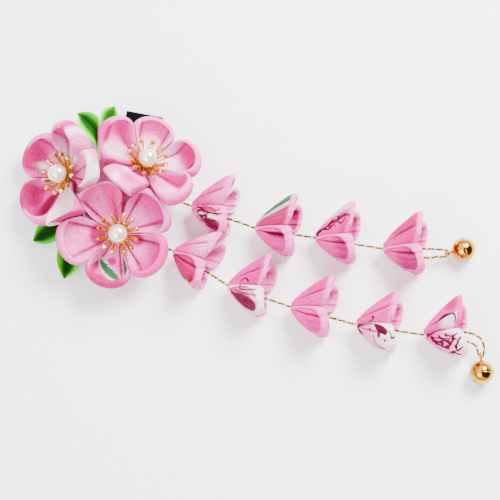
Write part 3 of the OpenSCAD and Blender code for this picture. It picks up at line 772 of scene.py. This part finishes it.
# Crimson lines and dots, by blossom and petal, in hundredths: half width, then across and along
# for each point that a line runs through
INK = {
    ("u1", 0): ((28, 37, 45, 33, 62, 22, 78), (26, -10, 62, 4, 80, 1, 95)),
    ("u1", 1): ((30, 96, 18, 69, 30, 38, 42, 6, 52), (32, 69, 30, 45, 60, 49, 94),
        (32, 34, 55, 18, 40, -5, 34), (26, 90, 36, 94, 60, 84, 84, 66, 90, 60, 80),
        (28, 30, 22, 5, 30, 22, 36, -2, 43, 16, 50), (28, 55, 36, 40, 26, 20, 24),
        (30, 28, 52, 12, 66, 20, 82, 2, 90), (28, -13, 20, -33, 30, -15, 38, -39, 46, -19, 54),
        (65, 2, 55, -11, 84), (47, -25, 62), (43, -34, 74), (43, -21, 80)),
    ("u3", 0): ((38, -60, 5, -50, 22, -48, 36), (30, -48, 30, -37, 46, -42, 62, -35, 78, -44, 97),
        (26, -37, 46, -24, 54, -28, 64), (26, -42, 62, -26, 70, -22, 84),
        (28, -47, 36, -62, 50, -52, 64, -66, 76, -52, 88), (26, -50, 22, -68, 34, -72, 46),
        (26, -44, 97, -60, 98, -71, 92), (40, -70, 60)),
    ("d2", 0): ((24, -82, 40, -71, 52, -89, 66),),
    ("d2", 1): ((26, 92, 45, 65, 38, 61, 62, 70, 90), (41, 2, 12, -1, 45, 14, 60),
        (68, -11, 30, -17, 58), (43, -26, 50, -40, 70), (47, -31, 84)),
    ("d4", 0): ((28, -96, 42, -80, 52, -68, 44),),
    ("d4", 1): ((32, 42, 5, 84, 25, 88, 50, 78, 66), (175, 66, 66, 55, 80),
        (34, 70, 80, 49, 95, 26, 99), (34, -1, 10, -17, 20), (62, 49, 42), (82, 32, 66),
        (60, 16, 82), (32, 24, 52, -5, 56, -23, 68, -21, 84)),
    ("d5", 0): ((36, -50, 35, -39, 62, -53, 86, -82, 92),),
    ("d5", 1): ((36, 65, 8, 92, 35, 98, 70), (90, 30, 22), (80, 10, 30), (75, 52, 42),
        (85, 22, 46), (70, 62, 60), (80, 30, 64), (85, 5, 58), (75, 45, 78), (80, 12, 80),
        (70, -15, 70), (38, 30, 22, 22, 34, 22, 46), (38, 10, 30, 0, 44, 5, 58),
        (38, 52, 42, 36, 54, 30, 64), (38, 5, 58, 22, 68, 45, 78), (38, 12, 80, 30, 86, 48, 98),
        (38, -15, 70, -2, 82, 12, 97), (34, 62, 60, 56, 76, 66, 92),
        (38, -33, 58, -20, 74, -20, 90)),
}


def line_depth(x, y, line):
    """Depth of points inside a line of the print, in millimetres; less than 0 outside."""
    half, *knots = in_units(line)
    knots = np.reshape(knots, (-1, 2))
    place = np.stack([DROP_LEN * knots[:, 1], across_mm(knots[:, 0], knots[:, 1])], 1)
    if len(place) > 1:
        place = smooth_curve(place, 6)
    p = np.stack([x, y], 1)
    best = np.linalg.norm(p - place[0], axis=1)
    for a, b in zip(place[:-1], place[1:]):
        d = b - a
        t = np.clip((p - a) @ d / max(d @ d, 1e-9), 0, 1)
        best = np.minimum(best, np.linalg.norm(p - a - t[:, None] * d, axis=1))
    return half - best


def face_far(across, along):
    """Distance from the middle of a lower petal's face; 1 at its edge."""
    return np.hypot((across - FACE_ACROSS) / FACE_HALF, (along - FACE_ALONG) / FACE_LONG)


def across_mm(across, along):
    """Distance round a hanging petal from its crown."""
    return across * HALF_ROUND * np.interp(along, DROP_ALONG, DROP_STRAIGHT)


def folds_at(across, width):
    """The folds across a hanging petal: 1 in a deep one, less in a fine one."""
    far = np.abs(across)
    fold = bell_curve(far, FOLD_AT, width)
    for place, share in FINE_FOLDS:
        fold = fold + share * bell_curve(far, place, FINE_WIDTH)
    return fold


def drop_line(u, k):
    """A line of a hanging petal at one place across it: from its root along the outside, round
    the lip and back along the inside."""
    turn, length, spread, curl = DROP_PETALS[k]
    own = PETAL_GAP / 2 / sin(DROP_HALF)
    a = abs(u)
    rib = (np.interp(a, RIB_AT, RIB_SPREAD)
           + 0.04 * math.sin(math.pi * min(1, a / RIB_AT[2])) ** 2)
    far = DROP_LEN * length * np.interp(a, RIB_AT, RIB_LENGTH)
    straight = np.interp(DROP_RUN, DROP_ALONG, DROP_STRAIGHT)
    bent = np.interp(DROP_RUN, DROP_ALONG, DROP_CURLED)
    open_share = straight + curl * (bent - straight)
    inner = (DROP_HOLE + (DROP_MOUTH * spread * rib - DROP_HOLE - DROP_CLOTH) * open_share
             - DROP_CREASE * 1.3 * folds_at(u, FOLD_WIDTH) * np.minimum(1, 2 * open_share))
    thick = DROP_CLOTH * (1 + 0.75 * ramp(DROP_RUN, 0.78, 1.0)) * (1 - 0.35 * a ** 6)
    inner = inner - 0.5 * (thick - DROP_CLOTH)
    outer = inner + thick
    if k == FACED:
        outer = outer - FACE_DEEP * (1 - ramp(face_far(u, DROP_RUN), 0.80, 1.06))
    along = DROP_RUN * (far - 0.6 * thick[-1])
    half_lip = thick[-1] / 2
    lip_r = inner[-1] + half_lip + half_lip * np.cos(LIP_TURNS)
    lip_x = along[-1] + 1.2 * half_lip * np.sin(LIP_TURNS)
    r = np.concatenate([outer, lip_r, inner[::-1]])
    x = np.concatenate([along, lip_x, along[::-1]])
    angle = turn + u * DROP_HALF
    return np.stack([x, own * sin(turn) + r * sin(angle),
                     DROP_FLAT * (own * cos(turn) + r * cos(angle))], 1)


def drop_colours(k, across, run, inside, paint):
    """Dye of a hanging petal's points, with painted shade in its folds and under the upper rim of
    the lower petal's face; run is 0 at the root and 1 at the mouth.
    """
    root, mouth, lip = map(dye_of, paint[:3])
    colour = root + ramp(run, 0.15, 0.95)[:, None] * (mouth - root)
    for u, w, wide, tall, tint, soft in map(in_units, paint[3:]):
        colour = blended(colour, dye_of(tint), (1 - BACK_FADE * inside)
                         * patch_amount(across, run, u, w, wide, tall, soft))
    outside = inside < 0.3
    edge = np.where(inside > 0.5, ramp(run, 0.965, 1.0), ramp(run, 0.90, 0.985))
    if k == FACED:
        out = face_far(across, run)
        edge = np.maximum(edge, 0.9 * ramp(out, 0.96, 1.05) * outside)
        # painted shade: a dark band just inside the face's raised rim, on its upper side
        under = bell_curve(out, 0.95, 0.05) * outside * ramp(across, -0.1, 0.5)
        colour = blended(colour, colour * FACE_SHADE, 0.7 * under)
    colour = blended(colour, lip, edge)
    # painted shade along the folds on the outside of the petal
    crease = folds_at(across, 0.045) * outside * ramp(run, 0.05, 0.3)
    return blended(colour, colour * FOLD_SHADE, crease * (1 - ramp(run, 0.8, 0.95)))


def make_drop(which, material):
    """Four folded petals round a cord, each with three ribs, two folds and a thick lip."""
    n, lip = len(DROP_RUN), len(LIP_TURNS)
    run = np.tile(np.concatenate([DROP_RUN, np.ones(lip), DROP_RUN[::-1]]), len(DROP_SIDES))
    inside = np.tile(np.repeat((0, 0.4, 1), (n, lip, n)), len(DROP_SIDES))
    across = np.repeat(DROP_SIDES, 2 * n + lip)
    shapes, colours, inks = [], [], []
    for k, paint in enumerate(DROP_PAINT[which]):
        points = np.concatenate([drop_line(u, k) for u in DROP_SIDES])
        points[:, 2] += (DROP_LUMP * ramp(run, 0.1, 0.5)
                         * soft_noise(points, 6.0, 7 * k + ord(which[1])))
        shapes.append((points, loft_faces(len(DROP_SIDES), 2 * n + lip)))
        colours.append(drop_colours(k, across, run, inside, paint))
        depth = np.full(len(points), NO_INK)
        for line in INK.get((which, k), ()):
            depth = np.maximum(depth, line_depth(DROP_LEN * run, across_mm(across, run), line))
        inks.append(np.where(inside < 0.5, depth, NO_INK))
    points, faces = joined(shapes)
    points = turned(leant(points, 0, -DROP_LEAN), DROPS[which][2]) + (*DROPS[which][:2], DROP_APEX)
    points[:, 2] = np.maximum(points[:, 2], OFF_FLOOR)
    piece = make_piece("hanging_" + which, points, faces, material, "drop_" + which,
                       np.concatenate(colours), np.concatenate(inks))


# Strands

BELL_Z = 5.5
# Points of each cord; one without a height lies at the height of the hanging blossoms' roots
ROUTES = {
    "upper": [
        (7.73, -3.07, 8.3), (12, -4.6, 8.6), (17, -7.2, 9), (22, -9.2), (26.3, -11), (33, -13.3),
        (40, -15.7), (47, -18.1), (53.2, -20.3), (60, -21.5), (67, -22.6), (73, -23.6),
        (78.5, -24.5), (86, -25.7), (93, -26.9), (100, -28), (107, -29.1), (113, -29.2),
        (119, -29.5, 9), (125, -29.2, 7.4), (129.5, -29.2, 6), (132, -29.3, BELL_Z),
        (133.6, -29.6, BELL_Z), (134.4, -30.6, BELL_Z), (133.6, -32, BELL_Z),
        (132, -32.3, BELL_Z), (129.3, -32.4, 6), (125, -33.1, 7.4), (119, -32.2, 9),
        (116.5, -31.6, 8.5)],
    "lower": [
        (3.08, -24.01, 8.4), (7, -25.6, 8.4), (11, -27.1, 8.2), (15, -28.7, 7.6), (19, -30.5),
        (24.5, -33.9), (30, -37.5), (36, -41.3), (41.8, -45), (48, -47.1), (55, -49.5),
        (62, -51.9), (68, -54), (75, -55.9), (82, -57.8), (89, -59.7), (95.3, -61.4),
        (102, -62.5), (109, -63.5), (116, -64.6), (123.6, -65.7), (130, -66.6), (137, -68, 9),
        (142.5, -69, 7.4), (145.1, -70.4, 6.4), (145.8, -72.2, 5.8), (146.2, -73.9, BELL_Z),
        (147.2, -74.7, BELL_Z), (148.2, -73.9, BELL_Z), (148.5, -72, 5.8), (148.2, -69.4, 6.6),
        (146.4, -66.8, 7.6), (142.5, -65.2, 8.8), (138, -64.4)],
}
TWIST, CORD_STEP = 3.8, 0.32      # length of one turn of the two plies, and of one step
PLY_OUT, CORE_R = 0.27, 0.16      # a ply's middle from the cord's, and the core's radius
# Radius and colour of the two plies, a gold one and a thinner dark one; the dark ply's colour is
# painted shade for the gaps of the twist
PLIES = ((0.36, "#E0AA40"), (0.27, "#4A300C"))


def even_path(points, step):
    """Smooth path through points with points at even distances."""
    fine = smooth_curve(points, 24)
    far = np.concatenate([[0], np.cumsum(np.linalg.norm(np.diff(fine, axis=0), axis=1))])
    at = np.linspace(0, far[-1], int(far[-1] / step) + 1)
    return np.stack([np.interp(at, far, fine[:, i]) for i in range(3)], 1), at


def make_strand(which, material):
    """A gold ply and a thinner dark one twisted round a dark core, each darker towards the core in
    painted shade.
    """
    path, at = even_path([(*p, DROP_APEX)[:3] for p in ROUTES[which]], CORD_STEP)
    ahead = unit(np.gradient(path, axis=0))
    across = unit(np.cross(ahead, (0, 0, 1.0)))
    up = np.cross(across, ahead)
    shapes, tones = [], []
    dark = dye_of("#1E1206")
    for ply, (radius, tint) in enumerate(PLIES):
        turn = (2 * math.pi * at / TWIST + ply * math.pi)[:, None]
        centre = path + PLY_OUT * (np.cos(turn) * across + np.sin(turn) * up)
        shape = tube(centre, radius, 8)
        shapes.append(shape)
        # painted shade: each ply darkens to the core's colour on its inner side, where it meets
        # the other ply and the core
        near = np.linalg.norm(shape[0] - np.repeat(path, 8, axis=0), axis=1)
        shade = ramp(near, 0.25, 0.50)[:, None]
        tones.append(dark + shade * (dye_of(tint) - dark))
    shapes.append(tube(path[::2], CORE_R, 6))
    tones.append(np.tile(dark, (len(shapes[-1][0]), 1)))
    points, faces = joined(shapes)
    make_piece("cord_" + which, points, faces, material, "strand_" + which,
               np.concatenate(tones), sharp=80)


# Bells

BELL_D, BELL_WALL, BELL_SLIT, SEAM_D, EYE_WIRE, EYE_D = 10, 0.6, 1.0, 11, 0.8, 2.4
HOLE_OUT, HOLE_R = 3.4, 0.95
BELL_SIDES, BELL_ROWS = 128, 40      # points round a bell, and rows of its inside
BELLS = {"upper": (134.4, -30.6, 12), "lower": (147.2, -74.7, -88)}


def rings(profile, sides, centre):
    """Points of rings round an axis along X, for rows of radius and place along it."""
    turn = circle(sides)
    return np.concatenate([np.stack([
        np.full(sides, centre[0] + x), centre[1] + r * np.cos(turn), centre[2] + r * np.sin(turn)
    ], 1) for r, x in profile])


def arc(radius, start, end, count):
    return [(radius * cos(t), radius * sin(t)) for t in np.linspace(start, end, count)]


def both_ways(half):
    """Profile of radius and place from one half of it, mirrored along its axis."""
    return [(r, -x) for r, x in half] + half[::-1]


def make_bell(which, material):
    """Two pressed half balls joined at a rolled seam, with a slit between two round holes."""
    ball_r, seam, sides = BELL_D / 2, SEAM_D / 2, BELL_SIDES
    middle = ball_r + (EYE_D + EYE_WIRE) / 2
    outer = arc(ball_r, -89.9, -6, 26)
    rolled = both_ways([(ball_r + 0.05, 0.48), (seam - 0.2, 0.42), (seam - 0.02, 0.30),
                        (seam - 0.06, 0.14), (seam - 0.45, 0.08)])
    inner = arc(ball_r - BELL_WALL, 89.9, -89.9, BELL_ROWS)
    profile = outer + rolled + [(r, -x) for r, x in outer[::-1]] + inner
    shell = rings(profile, sides, (middle, 0, 0))
    n = len(profile)
    faces = []
    for j in range(n):
        a, b = j * sides, (j + 1) % n * sides
        if j in (n - BELL_ROWS - 1, n - 1):
            continue
        for i in range(sides):
            k = (i + 1) % sides
            x, y, z = shell[[a + i, a + k, b + i, b + k]].mean(0)
            in_slit = abs(z) < BELL_SLIT / 2 and x > middle + 0.9
            in_hole = math.hypot(y - math.copysign(HOLE_OUT, y), z) < HOLE_R and x > middle
            if not (in_slit or in_hole):
                faces.append((a + i, b + i, b + k, a + k))
    ring_r = (EYE_D + EYE_WIRE) / 2
    s = np.arange(12) * math.pi / 6
    eye = []
    for t in np.linspace(0, 2 * math.pi, 49)[:-1]:
        out = np.array([math.cos(t), 0, math.sin(t)])
        eye.append(ring_r * out
                   + EYE_WIRE / 2 * (np.outer(np.cos(s), out) + np.outer(np.sin(s), (0, 1, 0))))
    eye_faces = loft_faces(48, 12, ends=False)
    eye_faces += [(47 * 12 + i, 47 * 12 + (i + 1) % 12, (i + 1) % 12, i) for i in range(12)]
    collar = ball((ring_r + 0.5, 0, 0), np.array([0.7, 1.3, 1.3]), 10, 24)
    points, faces = joined([(shell, faces), (np.concatenate(eye), eye_faces), collar])
    x0, y0, heading = BELLS[which]
    make_piece("small_bell_" + which, turned(points, heading) + (x0, y0, BELL_Z), faces,
               material, "bell_" + which, sharp=35)


# Clip and pad

CLIP_LEN, CLIP_W, CLIP_H, CLIP_BAR, CLIP_TURN = 60, 16, 6.8, 1.8, -11


def rounded_box(low, high, radius):
    """Points and faces of a box with rounded edges, from a finely cut cube."""
    low, high = np.array(low, float), np.array(high, float)
    n = 9
    t = np.linspace(0, 1, n)
    ease = (1 - np.cos(math.pi * t)) / 2
    index, points, faces = {}, [], []

    def corner(i, j, k):
        if (i, j, k) not in index:
            index[i, j, k] = len(points)
            p = low + (high - low) * ease[[i, j, k]]
            core = np.clip(p, low + radius, high - radius)
            d = p - core
            far = np.linalg.norm(d)
            points.append(core + d * (radius / far if far > radius else 1))
        return index[i, j, k]

    for axis in range(3):
        for at, flip in ((0, True), (n - 1, False)):
            for a in range(n - 1):
                for b in range(n - 1):
                    quad = []
                    for da, db in ((0, 0), (1, 0), (1, 1), (0, 1)):
                        c = [0, 0, 0]
                        c[axis], c[(axis + 1) % 3], c[(axis + 2) % 3] = at, a + da, b + db
                        quad.append(corner(*c))
                    faces.append(tuple(quad[::-1] if flip else quad))
    return np.array(points), faces


def make_clip(material):
    """A flat sprung clip: two bars and a hinge barrel, wrapped in ribbon."""
    hinge, half_w, half_l = CLIP_H / 2, CLIP_W / 2, CLIP_LEN / 2
    shapes = [rounded_box((-half_w, -half_l + hinge, z), (half_w, half_l, z + CLIP_BAR), 0.5)
              for z in (0.0, CLIP_H - CLIP_BAR)]
    barrel = both_ways([(hinge - 0.5, half_w), (hinge - 0.15, half_w - 0.15),
                        (hinge, half_w - 0.5)])
    shapes.append((rings(barrel, 64, (0, -half_l + hinge, hinge)), loft_faces(6, 64)))
    points, faces = joined(shapes)
    make_piece("ribbon_clip", turned(points, CLIP_TURN), faces, material, "hair_clip", sharp=60)


def make_pad(material):
    """Felt disc with a round foot under each blossom, softened at its edges."""
    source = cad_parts["backing_pad"]
    piece = new_object("felt_pad", source.data.copy())
    piece.matrix_world = source.matrix_world
    remesh = piece.modifiers.new("felt", "REMESH")
    remesh.mode, remesh.voxel_size = "VOXEL", 0.5 * MM
    piece.modifiers.new("soft", "SMOOTH").iterations = 4
    graph = bpy.context.evaluated_depsgraph_get()
    mesh = bpy.data.meshes.new_from_object(piece.evaluated_get(graph))
    piece.modifiers.clear()
    piece.data = mesh
    mesh.materials.clear()
    mesh.materials.append(material)
    mesh.polygons.foreach_set("use_smooth", [True] * len(mesh.polygons))
    stand_for(piece, "backing_pad")


# Other materials

FELT_TUFT = 0.5        # size of the felt's tufts
RIBBON_RIB = 0.7       # spacing of the ribbon's cross ribs
WAVE_BAND = 0.314      # width of one band of the wave pattern where its scale is 1
DUST = 1.2             # patches of dust and wear on the ribbon
PEARL_CLOUD = 3.5      # clouds in the pearl coat
FOIL = 0.35            # width of a foil strip of the cord


def felt_material():
    """Wool felt: pressed, unwoven fibres; matt and softly fuzzy. Its deep pink is partly the
    felt's own colour and partly painted shade for the gaps between the petals where it shows.
    """
    material, tree, place = new_material("pressed wool felt", {
        "Roughness": 0.95, "IOR": 1.5, "Sheen Weight": 0.5, "Sheen Roughness": 0.6})
    fibres = add(tree, "TexNoise", {"Scale": 1 / (FELT_TUFT * MM), "Detail": 5.0,
                                    "Roughness": 0.7, "Distortion": 1.5, "Vector": place})
    # partly painted shade: the felt is dyed deeper so that it reads as shaded cloth between the
    # petals
    colour = two_tones(tree, fibres, linear("#D06A98"), linear("#DE8CB0"), 0.35, 0.65)
    finish(tree, colour, fibres, (0.6, 0.15))
    return material


def ribbon_material():
    """Polyester grosgrain ribbon: woven with cross ribs, whose crowns are a little lighter in
    painted sheen.
    """
    material, tree, place = new_material("woven black grosgrain ribbon", {
        "Roughness": 0.6, "IOR": 1.4, "Specular IOR Level": 0.04})
    straight = add(tree, "Mapping", {"Rotation": (0, 0, math.radians(-CLIP_TURN)),
                                     "Vector": place})
    ribs = add(tree, "TexWave", {
        "wave_type": "BANDS", "bands_direction": "Y", "wave_profile": "SIN",
        "Scale": WAVE_BAND / (RIBBON_RIB * MM), "Distortion": 0.3, "Vector": straight}, 1)
    dust = add(tree, "TexNoise", {"Scale": 1 / (DUST * MM), "Detail": 4.0, "Vector": place})
    height = add(tree, "Math", {"operation": "MULTIPLY_ADD", 0: dust, 1: 0.3, 2: ribs})
    # painted sheen: a little lighter along the crowns of the ribs
    colour = two_tones(tree, ribs, linear("#010102"), linear("#07080B"))
    finish(tree, colour, height, (0.5, 0.12), (0.42, 0.68), dust)
    return material


def pearl_material():
    """Glass bead with a pearl coat: milky, with a hard clear gloss over a faint rosy shimmer."""
    material, tree, place = new_material("pearl-coated bead", {
        "Metallic": 0.55, "Roughness": 0.20, "IOR": 1.53, "Coat Weight": 1.0,
        "Coat Roughness": 0.05, "Sheen Weight": 0.1, "Sheen Tint": linear("#FFE9EE"),
        "Subsurface Weight": 0.15, "Subsurface Radius": (1.2 * MM, 0.9 * MM, 0.8 * MM),
        "Subsurface Scale": 1.0})
    cloudy = add(tree, "TexNoise", {"Scale": 1 / (PEARL_CLOUD * MM), "Detail": 2.0,
                                    "Vector": place})
    milk = two_tones(tree, cloudy, linear("#F8EFEA"), linear("#E4D0CC"))
    finish(tree, milk, cloudy, (0.08, 0.05), (0.16, 0.30))
    return material


def gold_material(name, bright, dark, rough, spot):
    """Gilt brass: drawn or pressed, then plated; a warm mirror with small dull patches."""
    material, tree, place = new_material(name, {"Metallic": 1.0, "Roughness": rough})
    patches = add(tree, "TexNoise", {"Scale": 1 / (spot * MM), "Detail": 4.0, "Roughness": 0.6,
                                     "Vector": place})
    colour = two_tones(tree, patches, linear(bright), linear(dark), 0.35, 0.65)
    finish(tree, colour, patches, (0.12, 0.04), (rough * 0.7, rough * 1.6))
    return material


def cord_material():
    """Cord of metallised thread: foil strips spun round a dark core, glossy along each strip."""
    material, tree, place = new_material("twisted metallised thread", {
        "Metallic": 0.75, "Roughness": 0.38})
    dye = add(tree, "Attribute", {"attribute_name": "dye"}, "Color")
    strips = add(tree, "TexNoise", {"Scale": 1 / (FOIL * MM), "Detail": 2.0, "Vector": place})
    # partly painted glint and shade: each foil strip is lighter where it stands high and darker
    # between, over the foil's own uneven tone
    colour = tone_and_glint_flecked(tree, dye, strips, (0.35, 0.65), (0.65, 1.15))
    finish(tree, colour, strips, (0.4, 0.06), (0.28, 0.55))
    return material


# Floor and light

FLOOR_HALF = 3.0       # half of the floor's side, in metres
# Lamps: place, size and watts, all aimed at one point
LAMP_AIM = (40, -20, 0)
LAMPS = {"window": ((420, 380, 620), 420, 28), "fill": ((-300, -500, 700), 700, 8)}


def make_floor():
    mesh = bpy.data.meshes.new("table_top")
    corners = ((-1, -1), (1, -1), (1, 1), (-1, 1))
    mesh.from_pydata([(x * FLOOR_HALF, y * FLOOR_HALF, 0) for x, y in corners], [], [(0, 1, 2, 3)])
    mesh.materials.append(new_material("white painted board", {
        "Base Color": linear("#FBFBFB"), "Roughness": 0.7})[0])
    new_object("table_top", mesh)


def make_lamp(name, place, size, watts):
    data = bpy.data.lights.new(name, "AREA")
    data.shape, data.size, data.energy = "DISK", size * MM, watts
    aim(new_object(name, data), place, Vector(LAMP_AIM) - Vector(place))


# The dark stand: its direction, and the cosines at its soft outer and inner edge
STAND_WAY, STAND_EDGE = (0.57, -0.20, 0.79), (0.62, 0.76)
ROOM_LIGHT = 3.4


def make_world():
    """A soft white room, brighter overhead than at its walls, with a dark stand overhead that
    gives the gold and the beads something to mirror."""
    world = bpy.data.worlds.new("studio")
    world.use_nodes = True
    tree = world.node_tree
    way = add(tree, "TexCoord", out="Generated")
    height = add(tree, "SeparateXYZ", {0: way}, 2)
    sky = two_tones(tree, height, linear("#6E6562"), linear("#FFFFFF"), 0, 0.6)
    near = add(tree, "VectorMath", {"operation": "DOT_PRODUCT", 0: way, 1: STAND_WAY}, "Value")
    room = two_tones(tree, near, sky, linear("#2A211C"), *STAND_EDGE)
    background = tree.nodes["Background"].inputs
    tree.links.new(room, background["Color"])
    background["Strength"].default_value = ROOM_LIGHT
    bpy.context.scene.world = world


make_camera()
make_floor()
make_world()
for lamp_name, lamp in LAMPS.items():
    make_lamp(lamp_name, *lamp)

cloth = crepe("printed rayon crepe")
twig_cloth = crepe("rayon crepe with printed twigs", lines=True)
leaf_cloth = crepe("green rayon crepe", sheen=0.0)
for petal_name in PETALS:
    make_petal(petal_name, cloth)
for leaf_name in LEAVES:
    make_leaf(leaf_name, leaf_cloth)
for drop_name in DROPS:
    make_drop(drop_name, twig_cloth)
wire = gold_material("gilt wire with cut tips", "#FFD470", "#BC8430", 0.18, 1.2)
bell_gold = gold_material("polished gilt bell", "#DC9E28", "#AC7414", 0.08, 4.0)
pearl = pearl_material()
for blossom in SPOTS:
    make_stamens(blossom, wire)
    make_pearl(blossom, pearl)
cord = cord_material()
for side in ROUTES:
    make_strand(side, cord)
    make_bell(side, bell_gold)
make_clip(ribbon_material())
make_pad(felt_material())
